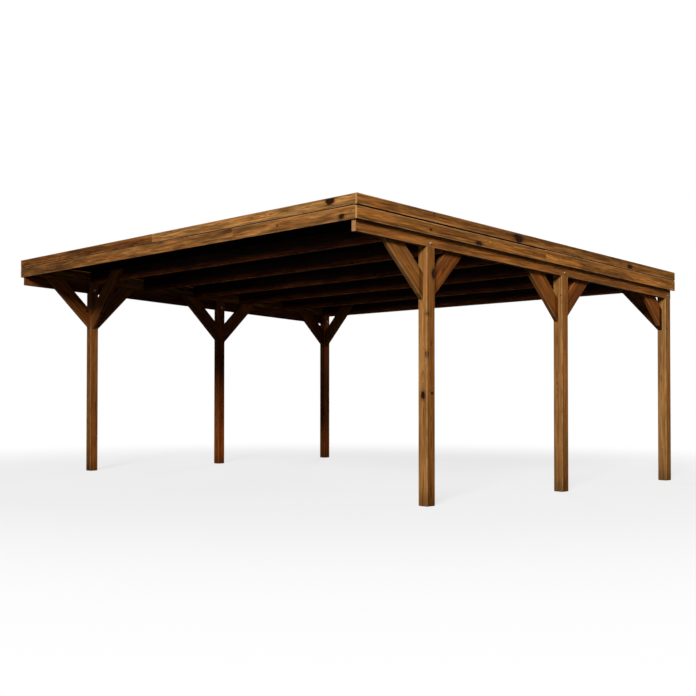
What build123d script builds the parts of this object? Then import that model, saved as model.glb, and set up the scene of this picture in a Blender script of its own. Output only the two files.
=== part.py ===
from build123d import *
from math import sqrt
import os

# A timber double carport: six posts in two rows carry two long side beams, rafters lie across
# the beams, and two stacked fascia boards close the roof edge on every side.  The roof sheets
# fall to the back.  Millimetres.  X runs across the bay, Y from the open front to the back and
# Z up.  The origin is on the ground, under the middle of the roof.

# Plan
bay_width = 5490.0          # between the axes of the two rows of posts
bay_length = 1903.0         # between the axes of neighbouring posts in one row
posts_per_row = 3
front_overhang = 886.0      # from the front post axis to the outer face of the front fascia
eaves_reveal = 37.0         # the side fascias stand this far outside the post faces

# Heights
clear_height = 2150.0       # ground to beam underside, at the front post axis
roof_fall = 0.05            # drop of the roof for each unit of run towards the back

# Timber sections
post_width = 100.0
post_edge = 5.0             # eased edges of the posts, and of their feet
beam_thickness = 45.0
beam_height = 120.0
rafter_thickness = 45.0
rafter_height = 145.0
rafter_fields = 5           # equal spaces between the front post rafter and the last rafter
brace_thickness = 45.0
brace_width = 160.0
brace_foot_drop = 435.0     # from the beam underside down to the foot of each brace
back_foot_drop = 340.0      # the same for the braces of the back posts, which are set higher
cross_brace_lap = 120.0     # height over which a cross brace overlaps the rafter beside it
plank_edge = 3.0            # eased long edges of beams, rafters and braces

# Fascia boards
fascia_thickness = 20.0
fascia_lower_height = 106.0
fascia_upper_height = 85.0
fascia_drop = 28.0          # the lower front and side boards hang this far below the rafters
back_fascia_drop = 10.0     # and the lower back board this far
fascia_seam = 7.0           # groove between the lower and the upper board
fascia_narrow_seam = 13.0   # the same groove over the narrower front length of the right side
fascia_tongue = 8.0         # thickness of the lower board's tongue, which closes the groove
fascia_edge = 2.0
butt_gap = 1.5              # between two lengths of one board
front_upper_joint = -45.0   # X of the butt joint in the upper front board
front_lower_joint = 1245.0  # X of the butt joint in the lower front board
right_joint_rafter = 4      # the right lower board is joined over the end of this rafter

# Roof sheets
sheet_count = 5
ribs_per_sheet = 8
sheet_thickness = 0.75
rib_height = 20.0
rib_crest = 35.0            # flat width on top of a rib
rib_flank_run = 20.0        # sideways run of each sloping flank
sheet_side_clearance = 5.0
sheet_front_clearance = 5.0
lap_lip = 5.0               # flat edge of an overlapping sheet, resting on the sheet below
back_drip = 10.0            # the sheets and the side fascias run this far past the back fascia

# Derived plan lines
post_axis_x = bay_width / 2
post_inner_x = post_axis_x - post_width / 2
post_outer_x = post_axis_x + post_width / 2
beam_inner_x = post_outer_x - beam_thickness
fascia_outer_x = post_outer_x + eaves_reveal
fascia_inner_x = fascia_outer_x - fascia_thickness
row_length = bay_length * (posts_per_row - 1)
roof_length = front_overhang + row_length + post_width / 2 + fascia_thickness + back_drip
front_y = -roof_length / 2
front_inner_y = front_y + fascia_thickness
front_post_y = front_y + front_overhang
back_post_y = front_post_y + row_length
back_face_y = back_post_y + post_width / 2              # back face of posts and beams
back_fascia_y = back_face_y + fascia_thickness
back_y = back_fascia_y + back_drip
rafter_setback = post_width / 2 - rafter_thickness      # from a post axis to a rafter flush
                                                        # with the back of the post
brace_plumb_width = brace_width * sqrt(2)               # plumb height of a brace's cut end

# Levels, measured plumb from the sloping line of the beam undersides
rafter_base = beam_height
rafter_top = rafter_base + rafter_height
fascia_bottom = rafter_base - fascia_drop
fascia_seam_level = fascia_bottom + fascia_lower_height
fascia_upper_bottom = fascia_seam_level + fascia_seam
fascia_top = fascia_upper_bottom + fascia_upper_height

SLOPE = Axis((0, 0, 0), (0, 1, -roof_fall))
SIDES = {"left": -1, "right": 1}
ROWS = ("front", "middle", "back")
CROSS_BRACED = ("front_left", "back_left", "back_right")


def roof_z(y, level):
    """Height above ground of a roof level at the depth y."""
    return clear_height + level - roof_fall * (y - front_post_y)


def roof_plane(level):
    """The falling plane of a roof level, its normal upwards."""
    return Plane(
        origin=(0, front_post_y, roof_z(front_post_y, level)),
        x_dir=(1, 0, 0),
        z_dir=(0, roof_fall, 1),
    )


def end_face(x, y_span, level_span):
    """The plumb end face, at x, of a timber whose top and underside are parallel to the roof."""
    y_low, y_high = y_span
    bottom, top = level_span
    with BuildSketch(Plane.YZ.offset(x)) as face:
        with BuildLine():
            Polyline(
                (y_low, roof_z(y_low, bottom)),
                (y_high, roof_z(y_high, bottom)),
                (y_high, roof_z(y_high, top)),
                (y_low, roof_z(y_low, top)),
                close=True,
            )
        make_face()
    return face.sketch


def roof_bar(label, x_span, y_span, level_span, ease, length_axis):
    """A straight timber of the roof with the edges along its length eased."""
    face = end_face(x_span[0], y_span, level_span)
    with BuildPart() as bar:
        extrude(face, amount=x_span[1] - x_span[0])
        chamfer(bar.edges().filter_by(length_axis), ease)
    bar.part.label = label
    export_step(bar.part, f"parts/{label}.step")


def lower_board(label, x_span, y_span, level_span, length_axis, tongue_spans, tongue_top):
    """A lower fascia board.  A tongue along the inside of its top edge reaches up to the board
    above, so that the groove between the two is closed at the back."""
    tongue_x, tongue_y = tongue_spans
    middle = sum(level_span) / 2
    face = end_face(x_span[0], y_span, level_span)
    tongue_face = end_face(tongue_x[0], tongue_y, (middle, tongue_top))
    with BuildPart() as board:
        extrude(face, amount=x_span[1] - x_span[0])
        chamfer(board.edges().filter_by(length_axis), fascia_edge)
        extrude(tongue_face, amount=tongue_x[1] - tongue_x[0])
    board.part.label = label
    export_step(board.part, f"parts/{label}.step")


def make_post(label, side, y):
    """A square post.  Its outer half is cut down to a shoulder that carries the beam, and its
    inner half runs on as a tongue to the underside of the rafters."""
    notch_x = min(side * beam_inner_x, side * (post_outer_x + post_width))
    notch_top = roof_z(y, rafter_base) + post_width
    with BuildPart() as post:
        with BuildSketch():
            with Locations((side * post_axis_x, y)):
                Rectangle(post_width, post_width)
        extrude(amount=notch_top)
        chamfer(post.edges().filter_by(Axis.Z), post_edge)
        chamfer(post.edges().group_by(Axis.Z)[0], post_edge)
        split(bisect_by=roof_plane(rafter_base), keep=Keep.BOTTOM)
        with BuildSketch(Plane.YZ.offset(notch_x)):
            with BuildLine():
                Polyline(
                    (y - post_width, roof_z(y - post_width, 0)),
                    (y + post_width, roof_z(y + post_width, 0)),
                    (y + post_width, notch_top),
                    (y - post_width, notch_top),
                    close=True,
                )
            make_face()
        extrude(amount=beam_thickness + post_width, mode=Mode.SUBTRACT)
    post.part.label = label
    export_step(post.part, f"parts/{label}.step")


def make_beam_brace(label, side, post_y, way, foot_drop):
    """A 45 degree brace in line with the beam, from the post face that looks along way up to
    the beam, where it laps the inner face and ends flush with the beam top."""
    face_y = post_y + way * post_width / 2
    foot_z = roof_z(post_y, -foot_drop)
    rise_at_face = roof_z(face_y, rafter_base) - foot_z
    lower_run = rise_at_face / (1 + way * roof_fall)
    upper_run = (rise_at_face - brace_plumb_width) / (1 + way * roof_fall)
    x_low = min(side * beam_inner_x, side * (beam_inner_x - brace_thickness))
    with BuildPart() as brace:
        with BuildSketch(Plane.YZ.offset(x_low)):
            with BuildLine():
                Polyline(
                    (face_y, foot_z),
                    (face_y, foot_z + brace_plumb_width),
                    (face_y + way * upper_run, foot_z + brace_plumb_width + upper_run),
                    (face_y + way * lower_run, foot_z + lower_run),
                    close=True,
                )
            make_face()
        extrude(amount=brace_thickness)
        chamfer(brace.edges().filter_by(Axis((0, 0, 0), (0, way, 1))), plank_edge)
    brace.part.label = label
    export_step(brace.part, f"parts/{label}.step")


def make_cross_brace(label, side, post_y, foot_drop):
    """A 45 degree brace across the bay, from the inner face of a corner post up to the rafter
    over that post, where it laps the rafter's front face.  Its own front face stands just
    behind the front face of the post, and its top is cut level."""
    face_x = side * post_inner_x
    brace_back_y = post_y + rafter_setback
    foot_z = roof_z(post_y, -foot_drop)
    rise = roof_z(post_y, rafter_base + cross_brace_lap) - foot_z
    with BuildPart() as brace:
        with BuildSketch(Plane.XZ.offset(-brace_back_y)):
            with BuildLine():
                Polyline(
                    (face_x, foot_z),
                    (face_x, foot_z + brace_plumb_width),
                    (face_x - side * (rise - brace_plumb_width), foot_z + rise),
                    (face_x - side * rise, foot_z + rise),
                    close=True,
                )
            make_face()
        extrude(amount=brace_thickness)
        chamfer(brace.edges().filter_by(Axis((0, 0, 0), (-side, 0, 1))), plank_edge)
    brace.part.label = label
    export_step(brace.part, f"parts/{label}.step")


def thicken(path):
    """The outline of a bent sheet: its underside path, then the same path offset upwards by
    the sheet thickness along the mitre of each bend."""
    directions = []
    for start, end in zip(path, path[1:]):
        length = sqrt((end[0] - start[0]) ** 2 + (end[1] - start[1]) ** 2)
        directions.append(((end[0] - start[0]) / length, (end[1] - start[1]) / length))
    upper = []
    for index, (x, z) in enumerate(path):
        before = directions[max(index - 1, 0)]
        after = directions[min(index, len(directions) - 1)]
        normal_x = -(before[1] + after[1])
        normal_z = before[0] + after[0]
        scale = 2 * sheet_thickness / (normal_x ** 2 + normal_z ** 2)
        upper.append((x + scale * normal_x, z + scale * normal_z))
    return path + upper[::-1]


def sheet_path(index):
    """The underside of one roof sheet from left to right, z measured from the rafter tops.
    Each sheet but the first starts with a rib that lies over the last rib of its neighbour,
    and each but the last ends on the crest under the next sheet's first rib."""
    half_width = fascia_inner_x - sheet_side_clearance
    cover = 2 * half_width / sheet_count
    pitch = cover / ribs_per_sheet
    half_crest = rib_crest / 2
    half_rib = half_crest + rib_flank_run
    flank = sqrt(rib_flank_run ** 2 + rib_height ** 2)
    lap_shift = sheet_thickness * rib_height / (flank + rib_flank_run)
    lap_crest = half_crest + lap_shift
    lap_height = rib_height + sheet_thickness
    lap_run = rib_flank_run * lap_height / rib_height
    centres = [-half_width + index * cover + (rib + 0.5) * pitch for rib in range(ribs_per_sheet)]
    if index == 0:
        path = [
            (-half_width, 0),
            (centres[0] - half_rib, 0),
            (centres[0] - half_crest, rib_height),
            (centres[0] + half_crest, rib_height),
            (centres[0] + half_rib, 0),
        ]
    else:
        path = [
            (centres[0] - half_rib - lap_shift - lap_lip, sheet_thickness),
            (centres[0] - half_rib - lap_shift, sheet_thickness),
            (centres[0] - lap_crest, lap_height),
            (centres[0] + lap_crest, lap_height),
            (centres[0] + lap_crest + lap_run, 0),
        ]
    for centre in centres[1:]:
        path += [
            (centre - half_rib, 0),
            (centre - half_crest, rib_height),
            (centre + half_crest, rib_height),
            (centre + half_rib, 0),
        ]
    if index == sheet_count - 1:
        path.append((half_width, 0))
    else:
        lap_centre = centres[-1] + pitch
        path += [
            (lap_centre - half_rib, 0),
            (lap_centre - half_crest, rib_height),
            (lap_centre + half_crest, rib_height),
        ]
    return path


def make_sheet(label, index):
    """A ribbed roof sheet, its ribs running down the fall to the back edge of the roof."""
    sheet_front = front_inner_y + sheet_front_clearance
    base = roof_z(sheet_front, rafter_top)
    length = (back_y - sheet_front) * sqrt(1 + roof_fall ** 2)
    with BuildPart() as sheet:
        with BuildSketch(Plane.XZ.offset(-sheet_front)):
            with BuildLine():
                Polyline(*[(x, base + z) for x, z in thicken(sheet_path(index))], close=True)
            make_face()
        extrude(amount=length, dir=(0, 1, -roof_fall))
    sheet.part.label = label
    export_step(sheet.part, f"parts/{label}.step")


os.makedirs("parts", exist_ok=True)

# Posts and braces.  The back posts have no brace behind them, and three of the four corner
# posts are braced across the bay.
for side_name, side in SIDES.items():
    for number, row in enumerate(ROWS):
        post_y = front_post_y + number * bay_length
        foot_drop = back_foot_drop if row == "back" else brace_foot_drop
        make_post(f"post_{row}_{side_name}", side, post_y)
        make_beam_brace(f"brace_{row}_{side_name}_forward", side, post_y, -1, foot_drop)
        if row != "back":
            make_beam_brace(f"brace_{row}_{side_name}_backward", side, post_y, 1, foot_drop)
        if f"{row}_{side_name}" in CROSS_BRACED:
            make_cross_brace(f"brace_{row}_{side_name}_cross", side, post_y, foot_drop)

# Beams
beam_y = (front_inner_y, back_face_y)
beam_levels = (0, beam_height)
left_beam_x = (-post_outer_x, -beam_inner_x)
right_beam_x = (beam_inner_x, post_outer_x)
roof_bar("beam_left", left_beam_x, beam_y, beam_levels, plank_edge, SLOPE)
roof_bar("beam_right", right_beam_x, beam_y, beam_levels, plank_edge, SLOPE)

# Rafters: one behind the front fascia, one over the front posts, flush with their back faces,
# and equal fields from there to the one over the back posts, which stands just the same.
across_x = (-fascia_inner_x, fascia_inner_x)
field = row_length / rafter_fields
rafter_ys = [front_inner_y]
rafter_ys += [
    front_post_y + rafter_setback + number * field for number in range(rafter_fields + 1)
]
for number, rafter_y in enumerate(rafter_ys, start=1):
    rafter_span = (rafter_y, rafter_y + rafter_thickness)
    rafter_levels = (rafter_base, rafter_top)
    roof_bar(f"rafter_{number}", across_x, rafter_span, rafter_levels, plank_edge, Axis.X)

# Fascia boards.  The side boards cover the ends of the front and back boards.  The back boards
# are set higher, and the upper one is ripped down so that the roof sheets pass over it.
lower_levels = (fascia_bottom, fascia_seam_level)
narrow_levels = (fascia_bottom, fascia_upper_bottom - fascia_narrow_seam)
upper_levels = (fascia_upper_bottom, fascia_top)
back_bottom = rafter_base - back_fascia_drop
back_lower_levels = (back_bottom, back_bottom + fascia_lower_height)
back_upper_bottom = back_bottom + fascia_lower_height + fascia_seam
back_upper_levels = (back_upper_bottom, rafter_top)
front_span = (front_y, front_inner_y)
back_span = (back_face_y, back_fascia_y)
side_span = (front_y, back_y)
left_x = (-fascia_outer_x, -fascia_inner_x)
right_x = (fascia_inner_x, fascia_outer_x)
front_tongue_y = (front_inner_y - fascia_tongue, front_inner_y)
back_tongue_y = (back_face_y, back_face_y + fascia_tongue)
left_tongue_x = (-fascia_inner_x - fascia_tongue, -fascia_inner_x)
right_tongue_x = (fascia_inner_x, fascia_inner_x + fascia_tongue)

upper_left_end = (-fascia_inner_x, front_upper_joint - butt_gap / 2)
upper_right_end = (front_upper_joint + butt_gap / 2, fascia_inner_x)
roof_bar("fascia_front_upper_left", upper_left_end, front_span, upper_levels, fascia_edge, Axis.X)
roof_bar("fascia_front_upper_right", upper_right_end, front_span, upper_levels, fascia_edge, Axis.X)
roof_bar("fascia_back_upper", across_x, back_span, back_upper_levels, fascia_edge, Axis.X)
roof_bar("fascia_left_upper", left_x, side_span, upper_levels, fascia_edge, SLOPE)
roof_bar("fascia_right_upper", right_x, side_span, upper_levels, fascia_edge, SLOPE)

for end, board_x in (
    ("left", (-fascia_inner_x, front_lower_joint - butt_gap / 2)),
    ("right", (front_lower_joint + butt_gap / 2, fascia_inner_x)),
):
    label = f"fascia_front_lower_{end}"
    tongue = (board_x, front_tongue_y)
    lower_board(label, board_x, front_span, lower_levels, Axis.X, tongue, fascia_upper_bottom)

label = "fascia_back_lower"
tongue = (across_x, back_tongue_y)
lower_board(label, across_x, back_span, back_lower_levels, Axis.X, tongue, back_upper_bottom)

joint_y = rafter_ys[right_joint_rafter - 1] + rafter_thickness / 2
near_span = (front_y, joint_y - butt_gap / 2)
far_span = (joint_y + butt_gap / 2, back_y)
for label, board_x, board_y, levels, tongue_x in (
    ("fascia_left_lower", left_x, side_span, lower_levels, left_tongue_x),
    ("fascia_right_lower_front", right_x, near_span, narrow_levels, right_tongue_x),
    ("fascia_right_lower_back", right_x, far_span, lower_levels, right_tongue_x),
):
    tongue = (tongue_x, board_y)
    lower_board(label, board_x, board_y, levels, SLOPE, tongue, fascia_upper_bottom)

for index in range(sheet_count):
    make_sheet(f"roof_sheet_{index + 1}", index)
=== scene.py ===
"""Timber carport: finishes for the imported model, its bolts and screws, and a plain studio stage."""

import math
from functools import cache, partialmethod
from typing import NamedTuple

import bpy
import numpy as np
from bpy.props import FloatProperty, FloatVectorProperty, IntProperty, PointerProperty
from mathutils import Matrix, Vector


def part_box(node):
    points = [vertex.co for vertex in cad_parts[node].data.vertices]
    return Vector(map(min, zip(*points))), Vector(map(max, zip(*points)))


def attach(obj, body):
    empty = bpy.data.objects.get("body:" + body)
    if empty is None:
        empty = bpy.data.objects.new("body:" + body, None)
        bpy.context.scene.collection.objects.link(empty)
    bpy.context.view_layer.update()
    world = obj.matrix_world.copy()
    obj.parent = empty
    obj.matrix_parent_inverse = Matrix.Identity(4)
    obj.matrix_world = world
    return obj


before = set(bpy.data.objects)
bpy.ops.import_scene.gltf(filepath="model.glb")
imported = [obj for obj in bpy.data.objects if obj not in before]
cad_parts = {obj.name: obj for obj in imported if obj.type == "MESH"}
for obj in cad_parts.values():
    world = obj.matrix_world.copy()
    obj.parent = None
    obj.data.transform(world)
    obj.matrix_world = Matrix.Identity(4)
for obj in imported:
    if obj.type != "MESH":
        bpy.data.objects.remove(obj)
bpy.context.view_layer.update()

bl_info = {
    "name": "Timber Carport",
    "version": (1, 0, 0),
    "blender": (4, 5, 0),
    "location": "View3D > Sidebar > Carport",
    "description": "Finishes, fixings and stage for a brown stained timber carport",
    "category": "Object",
}

BODY = "root"
SIDES = {"left": -1.0, "right": 1.0}
ROWS = ("front", "middle", "back")
MILLIMETRE = 0.001
WHITE = (1.0, 1.0, 1.0, 1.0)
SEED = 20


# ---------- Sizes and colours -----------


def amount(name, description, default, **settings):
    """A property that is one number."""
    return FloatProperty(name=name, description=description, default=default, **settings)


def length(name, description, default):
    """A length property in metres."""
    return amount(name, description, default, min=0.0, unit="LENGTH")


def gains(name, description, default, **settings):
    """A property with one number for each colour channel."""
    return FloatVectorProperty(
        name=name, description=description, default=default, size=3, **settings
    )


def colour(name, description, default):
    """A linear colour property."""
    return gains(name, description, default, min=0.0, max=1.0, subtype="COLOR")


class CarportTimber(bpy.types.PropertyGroup):
    """Colours and grain of the brown stained pine."""

    early: colour("Early wood", "Stained colour of the soft early wood", (0.385, 0.154, 0.031))
    late: colour("Late wood", "Stained colour of the hard late wood", (0.215, 0.066, 0.0085))
    knot: colour("Knot", "Colour of the knots", (0.014, 0.005, 0.002))
    # Partly painted light: the front faces are paler and greyer, as where the light falls on them,
    # besides their sun bleaching.
    bleach_and_light: gains("Bleach And Light", "Gain of each channel on the bleached front faces", (1.0, 1.20, 1.75))
    worn: colour("Worn arris", "Pale wood where the stain is rubbed off", (0.600, 0.350, 0.165))
    end: colour("End grain", "Stained colour of the cut ends", (0.520, 0.300, 0.130))
    ring_width: length("Ring width", "Width of one year of growth", 0.0042)
    knot_radius: length("Knot radius", "Radius of a middling knot", 0.011)
    knot_spacing: length("Knot spacing", "Mean distance from one knot to the next", 0.36)
    arris_width: length("Arris wear", "Width of the rubbed strip along the edges", 0.0060)
    # Painted shade: width of the dark strip on a brace beside its post.
    brace_shade_width: length("Brace shade strip", "Width of the dark strip on a brace beside its post", 0.048)
    # Painted shade: a rafter's side darker towards its top.
    rafter_shade: amount("Rafter shade", "Share by which a rafter's side is darker at the top", 0.90)
    # Painted shade: the tongue at the back of the boards' groove.
    groove_shade: amount("Groove shade", "Share by which the back of the boards' groove is darker", 0.97)
    # Painted light: the rafters' undersides lighter than their sides.
    underside: amount("Underside", "Gain of the rafters' undersides above their sides", 1.7)
    palest: amount("Palest", "The most that a channel of the stained wood reaches", 0.90)


class CarportRoof(bpy.types.PropertyGroup):
    """Colours of the coated roof sheets."""

    coating: colour("Coating", "Colour of the coated top side", (0.052, 0.054, 0.058))
    # Partly painted shade: the underside is near-black for the shade under the roof.
    shaded_backing: colour("Shaded backing", "Colour of the primed underside", (0.006, 0.005, 0.005))
    dust: colour("Dust", "Colour of the dust that rain leaves in the pans", (0.200, 0.180, 0.150))
    dust_share: amount("Dust share", "How thickly the dust lies", 0.35)
    ribs_per_sheet: IntProperty(
        name="Ribs per sheet", description="Ribs that one sheet covers", default=8, min=1
    )


class CarportFixings(bpy.types.PropertyGroup):
    """Sizes of the bolts and screws, and the colour of their plating."""

    zinc: colour("Zinc", "Colour of the bright plating", (0.64, 0.58, 0.46))
    bronze: colour("Bronze", "Colour of the wood screws' coating", (0.250, 0.130, 0.050))
    bolt_rise: length("Bolt height", "Height of the coach bolts above the beam underside", 0.032)
    head_radius: length("Bolt head radius", "Radius of the cup head", 0.0125)
    washer_radius: length("Washer radius", "Radius of the washer behind the nut", 0.0150)
    nut_width: length("Nut width", "Across the flats of the nut", 0.0170)
    screw_radius: length("Screw head radius", "Radius of the countersunk heads", 0.0042)
    roof_screw_radius: length("Roof washer radius", "Radius of the roof screws' washers", 0.0080)


class CarportStage(bpy.types.PropertyGroup):
    """Camera, lamps and floor."""

    camera_x: amount("Camera X", "Across", 8.606, unit="LENGTH")
    camera_y: amount("Camera Y", "Depth", -7.9228, unit="LENGTH")
    camera_z: amount("Camera Z", "Height", 0.930, unit="LENGTH")
    heading: amount("Heading", "Turn to the left", 0.81503, unit="ROTATION")
    pitch: amount("Pitch", "Upward tilt", 0.01744, unit="ROTATION")
    roll: amount("Roll", "Roll", 0.00033, unit="ROTATION")
    lens: amount("Lens", "Focal length", 53.871, unit="CAMERA")
    shift: amount("Shift", "Vertical shift of the lens", 0.03991)
    key_power: amount("Key power", "Wide front lamp", 6700.0)
    side_power: amount("Side power", "High side lamp", 200.0)
    back_power: amount("Back power", "Rear lamp", 450.0)
    sky: amount("Sky", "Strength of the even light", 0.02)
    floor: colour("Floor", "Colour of the pale floor", (0.80, 0.80, 0.79))
    floor_bounce: amount("Floor bounce", "Grey that the floor shows to other rays", 0.02)
    far_glow: amount("Far glow", "Light that the far white ground throws back", 0.95)
    floor_size: length("Floor size", "Half the side of the floor", 40.0)


GROUPS = {
    "carport_timber": CarportTimber,
    "carport_roof": CarportRoof,
    "carport_fixings": CarportFixings,
    "carport_stage": CarportStage,
}


# ------------ Shader graphs -------------


class Graph:
    """Adds nodes to one shader tree and links them.  Every method gives back output sockets."""

    def __init__(self, tree):
        self.tree = tree

    def put(self, socket, value):
        """Links a socket to another one, or sets it to a constant."""
        if isinstance(value, bpy.types.NodeSocket):
            self.tree.links.new(value, socket)
        elif value is not None:
            socket.default_value = value

    def fill(self, sockets, values):
        """Links or sets sockets, by name or index."""
        for key, value in values.items():
            self.put(sockets[key], value)

    def add(self, kind, inputs=None, **settings):
        """A node with its settings and its inputs, by socket name or index."""
        node = self.tree.nodes.new(kind)
        for key, value in settings.items():
            setattr(node, key, value)
        self.fill(node.inputs, inputs or {})
        return node

    def math(self, operation, *values, clamp=False):
        inputs = dict(enumerate(values))
        return self.add("ShaderNodeMath", inputs, operation=operation, use_clamp=clamp).outputs[0]

    plus = partialmethod(math, "ADD")
    minus = partialmethod(math, "SUBTRACT")
    times = partialmethod(math, "MULTIPLY")
    over = partialmethod(math, "DIVIDE")
    least = partialmethod(math, "MINIMUM")
    most = partialmethod(math, "MAXIMUM")
    under = partialmethod(math, "LESS_THAN")

    def squared(self, value):
        return self.math("POWER", value, 2.0)

    def hypotenuse(self, first, second):
        """The square root of the sum of two squares."""
        return self.math("SQRT", self.plus(self.squared(first), self.squared(second)))

    def swing(self, value, middle, size):
        """How far a value is from its middle, times a size."""
        return self.times(self.minus(value, middle), size)

    def pick(self, choice, first, second):
        """The first value where the choice is 0, and the second one where it is 1."""
        return self.plus(self.times(first, self.minus(1.0, choice)), self.times(second, choice))

    def vector(self, operation, *values):
        node = self.add("ShaderNodeVectorMath", dict(enumerate(values)), operation=operation)
        return node.outputs["Value" if operation in ("LENGTH", "DOT_PRODUCT") else "Vector"]

    def scale(self, vector, factor):
        """A vector or a colour times a number."""
        return self.vector("SCALE", vector, None, None, factor)

    def split(self, value):
        return self.add("ShaderNodeSeparateXYZ", {"Vector": value}).outputs

    def join(self, x, y, z):
        return self.add("ShaderNodeCombineXYZ", {"X": x, "Y": y, "Z": z}).outputs[0]

    def noise(self, position, detail=2.0, roughness=0.5):
        """Noise between 0 and 1 that changes over about one unit of the position."""
        inputs = {"Vector": position, "Scale": 1.0, "Detail": detail, "Roughness": roughness}
        return self.add("ShaderNodeTexNoise", inputs).outputs["Fac"]

    def ramp(self, value, low, high, start=0.0, end=1.0):
        """A smooth step from start to end as value runs from low to high."""
        inputs = {"Value": value, "From Min": low, "From Max": high, "To Min": start, "To Max": end}
        return self.add("ShaderNodeMapRange", inputs, interpolation_type="SMOOTHSTEP").outputs[0]

    def blend(self, factor, first, second):
        """The first colour where the factor is 0, and the second one where it is 1."""
        inputs = {0: factor, 6: first, 7: second}
        return self.add("ShaderNodeMix", inputs, data_type="RGBA").outputs[2]

    def relief(self, height, distance, strength):
        """A normal that is bent by a height, which is given in shares of the distance."""
        inputs = {"Height": height, "Distance": distance, "Strength": strength}
        return self.add("ShaderNodeBump", inputs).outputs[0]


FLOAT, VECTOR, COLOUR = "NodeSocketFloat", "NodeSocketVector", "NodeSocketColor"


def new_group(name, inputs, outputs):
    """A shader node group, and its Graph, input sockets and output sockets.  Inputs and outputs
    give the names of the sockets of each kind."""
    tree = bpy.data.node_groups.new(name, "ShaderNodeTree")
    for direction, sockets in (("INPUT", inputs), ("OUTPUT", outputs)):
        for kind, names in sockets.items():
            for socket_name in names:
                tree.interface.new_socket(name=socket_name, in_out=direction, socket_type=kind)
    graph = Graph(tree)
    source = graph.add("NodeGroupInput")
    sink = graph.add("NodeGroupOutput")
    return tree, graph, source.outputs, sink.inputs


def opaque(tint, gain=1.0):
    """A colour for a socket: each channel times the gain, and full alpha."""
    return tuple(channel * gain for channel in tint) + (1.0,)


class WoodNoise(NamedTuple):
    """A noise drawn out along the grain: its changes a metre along and across the grain, its
    place in the endless pattern, and its detail and roughness."""

    along: float
    across: float
    place: float
    detail: float = 2.0
    roughness: float = 0.5


WOOD_NOISES = {
    "knot rim": WoodNoise(90.0, 90.0, 9.0),
    "ring wander": WoodNoise(0.9, 5.0, 5.3),
    "ring ripple": WoodNoise(7.0, 22.0, 7.9, detail=1.0),
    "streak": WoodNoise(1.6, 42.0, 3.7, detail=3.0, roughness=0.6),
    "fibre": WoodNoise(14.0, 650.0, 2.1, detail=1.0),
    "arris": WoodNoise(9.0, 60.0, 6.1, detail=3.0),
    "patch": WoodNoise(1.1, 9.0, 4.4, detail=3.0, roughness=0.55),
    "cloud": WoodNoise(1.8, 16.0, 8.2, detail=4.0, roughness=0.6),
    "fleck": WoodNoise(3.6, 62.0, 6.7, detail=3.0, roughness=0.65),
}


def wood_noise(graph, given, name):
    """A noise in a group's own Vector, moved to another part of the pattern by its Seed."""
    kind = WOOD_NOISES[name]
    away = (kind.place, kind.place * 0.7, kind.place * 1.3)
    drawn = graph.vector("MULTIPLY", given["Vector"], (kind.along, kind.across, kind.across))
    moved = graph.vector("ADD", drawn, graph.scale(away, given["Seed"]))
    return graph.noise(moved, kind.detail, kind.roughness)


# What the grain puts out and the stain takes in.
GRAIN = ("Late Wood", "Knot", "Knot Core", "Knot Halo", "Streak", "Fibre")

# The inputs for the knots of a timber that have a place of their own.
CHOSEN = (1, 2, 3)
CHOSEN_PLACES = [f"Knot {index}" for index in CHOSEN]
CHOSEN_RADII = [f"Radius {index}" for index in CHOSEN]
NO_KNOT = ((0.0, 0.0, 99.0), MILLIMETRE)


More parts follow.
